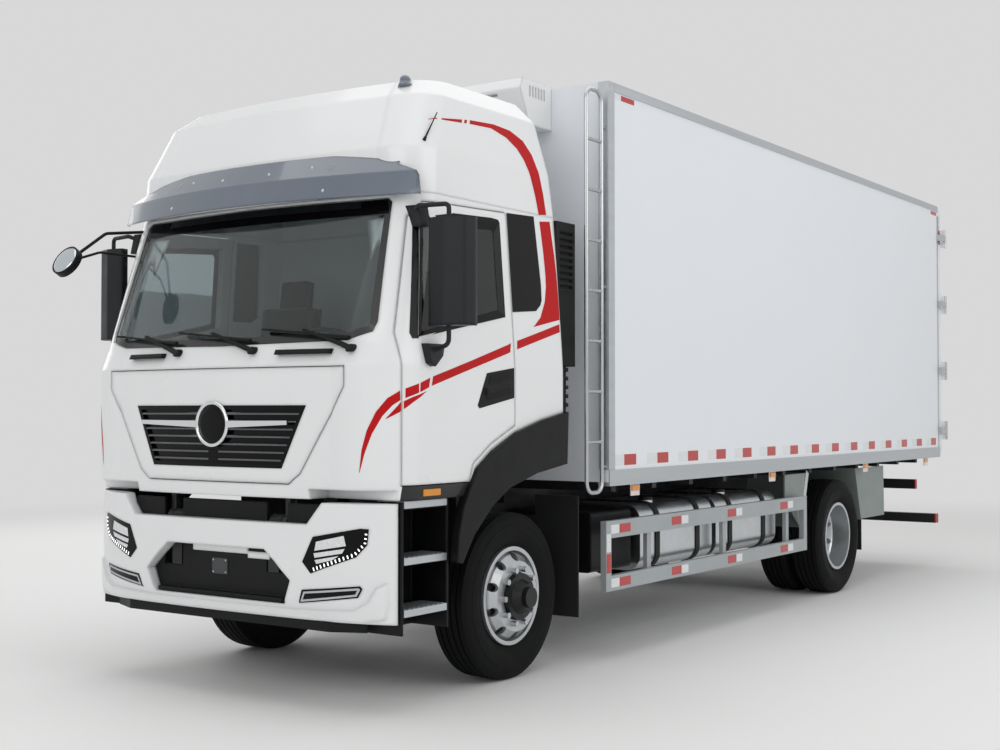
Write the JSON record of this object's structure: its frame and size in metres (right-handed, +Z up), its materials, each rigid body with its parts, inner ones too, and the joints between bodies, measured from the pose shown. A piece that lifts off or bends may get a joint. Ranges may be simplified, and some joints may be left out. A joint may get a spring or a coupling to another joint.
{
  "type": "refrigerated box truck",
  "caption": "White forward-control box truck with an insulated load box, a cooling unit over a tilting high-roof cab, opening doors, steering and rolling wheels.",
  "frame": {"origin": "on the ground under the middle of the truck's box", "axes": "+X to the truck's left, +Y to its rear, +Z up"},
  "size_m": [3.0086, 9.416, 3.797],
  "materials": {
    "white_enamel": "sprayed white gloss enamel over steel",
    "chassis_enamel": "satin dark grey chassis enamel",
    "wheel_enamel": "silver baked enamel on pressed steel",
    "guard_enamel": "silver-grey sprayed enamel",
    "panel_gelcoat": "smooth white glass-fibre skin",
    "rail_aluminium": "extruded and anodised",
    "tank_aluminium": "rolled sheet, mill finish",
    "stainless": "drawn tube and folded sheet",
    "cast_iron": "as cast, painted",
    "tyre_rubber": "moulded tyre rubber",
    "black_moulding": "grained black moulding",
    "gloss_black": "smooth black moulding",
    "smoked_acrylic": "dark smoked acrylic",
    "cab_glass_tint": "lightly tinted laminated glass",
    "lamp_lens": "clear lamp lens",
    "red_lens": "red lamp lens",
    "cab_trim": "grey moulded trim",
    "seat_cloth": "woven dark grey seat cloth"
  },
  "bodies": {
    "chassis": {"ladder_frame": "chassis_enamel", "front_axle_beam": "chassis_enamel", "leaf_springs": "chassis_enamel", "rear_axle": "chassis_enamel", "power_unit": "cast_iron", "propeller_shaft": "chassis_enamel", "box_subframe": "chassis_enamel", "box_floor": "rail_aluminium", "box_front_wall": "panel_gelcoat", "box_side_walls": "panel_gelcoat", "box_roof": "panel_gelcoat", "box_rails": "rail_aluminium", "box_rear_frame": "stainless", "cooling_unit": "white_enamel", "ladder": "stainless", "fuel_tanks": "tank_aluminium", "battery_box": "black_moulding", "exhaust_box": "stainless", "air_reservoirs": "chassis_enamel", "side_guards": "guard_enamel", "mudguards": "guard_enamel", "underride_guard": "chassis_enamel", "tail_lamps": "red_lens", "bumper": "white_enamel", "headlamps": "lamp_lens", "bumper_insert": "black_moulding", "steps": "black_moulding"},
    "cab": {"cab_shell": "white_enamel", "cab_glass": "cab_glass_tint", "cab_roof": "white_enamel", "sun_visor": "smoked_acrylic", "front_mirror": "black_moulding", "fender_flares": "black_moulding", "dashboard": "cab_trim", "seats": "seat_cloth", "air_intake": "black_moulding", "cowl_fittings": "black_moulding"},
    "door_left_body": {"door_left": "white_enamel", "door_glass_left": "cab_glass_tint", "mirror_left": "black_moulding"},
    "door_right_body": {"door_right": "white_enamel", "door_glass_right": "cab_glass_tint", "mirror_right": "black_moulding"},
    "hatch": {"front_hatch": "white_enamel", "grille": "gloss_black"},
    "hand_wheel": {"steering_wheel": "black_moulding"},
    "steer_left_body": {"knuckle_left": "cast_iron"},
    "steer_right_body": {"knuckle_right": "cast_iron"},
    "tie_rod_body": {"tie_rod": "chassis_enamel"},
    "wheel_front_left": {"rim_front_left": "wheel_enamel", "tyre_front_left": "tyre_rubber"},
    "wheel_front_right": {"rim_front_right": "wheel_enamel", "tyre_front_right": "tyre_rubber"},
    "wheel_rear_left": {"rims_rear_left": "wheel_enamel", "tyres_rear_left": "tyre_rubber"},
    "wheel_rear_right": {"rims_rear_right": "wheel_enamel", "tyres_rear_right": "tyre_rubber"},
    "box_door_left": {"rear_door_left": "panel_gelcoat"},
    "box_door_right": {"rear_door_right": "panel_gelcoat"}
  },
  "joints": [
    {"name": "cab_tilt", "type": "hinge", "parent": "chassis", "child": "cab", "pos_m": [0, -4.408, 1.01], "axis": [1, 0, 0], "range_deg": [0, 50]},
    {"name": "door_left_open", "type": "hinge", "parent": "cab", "child": "door_left_body", "pos_m": [1.196, -4.33, 1.7], "axis": [0, 0, -1], "range_deg": [0, 68]},
    {"name": "door_right_open", "type": "hinge", "parent": "cab", "child": "door_right_body", "pos_m": [-1.196, -4.33, 1.7], "axis": [0, 0, 1], "range_deg": [0, 68]},
    {"name": "hatch_open", "type": "hinge", "parent": "cab", "child": "hatch", "pos_m": [0, -4.546, 1.871], "axis": [-1, 0, 0], "range_deg": [0, 70]},
    {"name": "steer_left", "type": "hinge", "parent": "chassis", "child": "steer_left_body", "pos_m": [0.8, -3.108, 0.506], "axis": [0, 0, 1], "range_deg": [-36, 36]},
    {"name": "steer_right", "type": "hinge", "parent": "chassis", "child": "steer_right_body", "pos_m": [-0.8, -3.108, 0.506], "axis": [0, 0, 1], "range_deg": [-36, 36]},
    {"name": "tie_rod_swing", "type": "hinge", "parent": "steer_left_body", "child": "tie_rod_body", "pos_m": [0.8, -2.878, 0.364], "axis": [0, 0, 1], "range_deg": [-36, 36]},
    {"name": "hand_wheel_turn", "type": "hinge", "parent": "cab", "child": "hand_wheel", "pos_m": [0.5, -4.008, 1.96], "axis": [0, 0.5736, 0.8192], "range_deg": [-720, 720]},
    {"name": "roll_front_left", "type": "hinge", "parent": "steer_left_body", "child": "wheel_front_left", "pos_m": [0.96, -3.108, 0.506], "axis": [1, 0, 0], "continuous": true},
    {"name": "roll_front_right", "type": "hinge", "parent": "steer_right_body", "child": "wheel_front_right", "pos_m": [-0.96, -3.108, 0.506], "axis": [1, 0, 0], "continuous": true},
    {"name": "roll_rear_left", "type": "hinge", "parent": "chassis", "child": "wheel_rear_left", "pos_m": [0.934, 1.892, 0.506], "axis": [1, 0, 0], "continuous": true},
    {"name": "roll_rear_right", "type": "hinge", "parent": "chassis", "child": "wheel_rear_right", "pos_m": [-0.934, 1.892, 0.506], "axis": [1, 0, 0], "continuous": true},
    {"name": "box_door_left_open", "type": "hinge", "parent": "chassis", "child": "box_door_left", "pos_m": [1.329, 4.695, 2.4], "axis": [0, 0, -1], "range_deg": [0, 268]},
    {"name": "box_door_right_open", "type": "hinge", "parent": "chassis", "child": "box_door_right", "pos_m": [-1.329, 4.695, 2.4], "axis": [0, 0, 1], "range_deg": [0, 268]}
  ],
  "couplings": [
    {"joint": "steer_right", "follows": "steer_left", "ratio": 1},
    {"joint": "tie_rod_swing", "follows": "steer_left", "ratio": -1},
    {"joint": "hand_wheel_turn", "follows": "steer_left", "ratio": 20}
  ]
}
